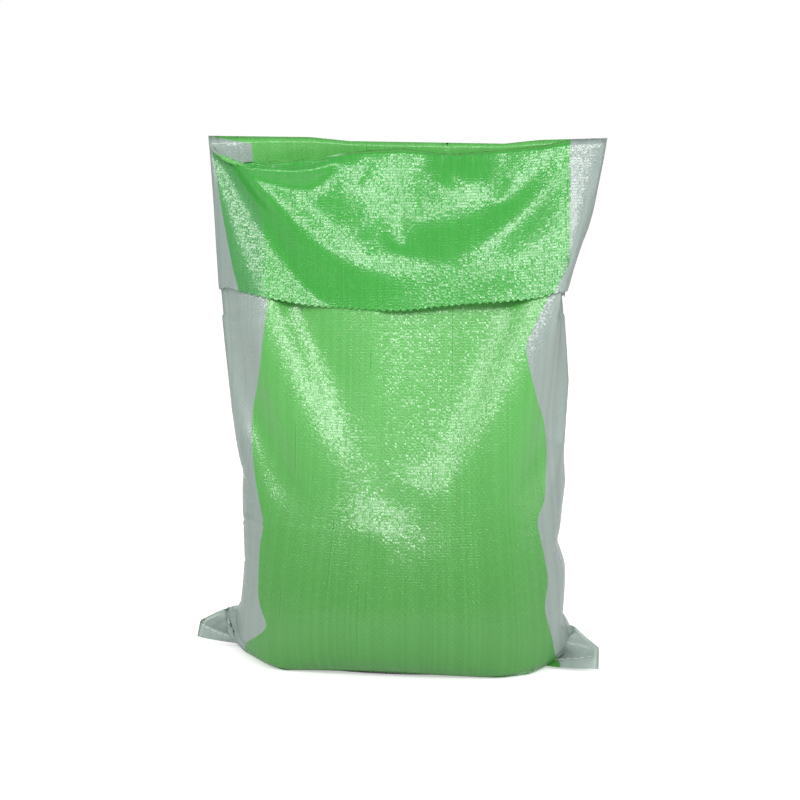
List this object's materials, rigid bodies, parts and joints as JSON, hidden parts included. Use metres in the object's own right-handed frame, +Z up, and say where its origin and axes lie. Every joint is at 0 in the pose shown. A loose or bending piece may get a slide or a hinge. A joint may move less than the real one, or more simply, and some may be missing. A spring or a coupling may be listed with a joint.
{
  "type": "filled woven polypropylene bag",
  "caption": "Standing woven polypropylene bag with a sewn flat bottom, sticking-out corners, a bulk fill below and its mouth turned down as a cuff.",
  "frame": {"origin": "on the floor, under the middle of the bag's box", "axes": "+Z up, front panel towards -Y, +X to the right seen from the front"},
  "size_m": [0.4591, 0.2399, 0.5836],
  "materials": {
    "woven_sleeve": "woven flat tape, laminated sheen, green panels and clear side strips",
    "bottom_stitch": "twisted sewing thread",
    "bulk_fill": "dry fine granules"
  },
  "bodies": {
    "root": {"woven_sleeve": "woven_sleeve", "bottom_stitch": "bottom_stitch", "bulk_fill": "bulk_fill"}
  },
  "joints": []
}
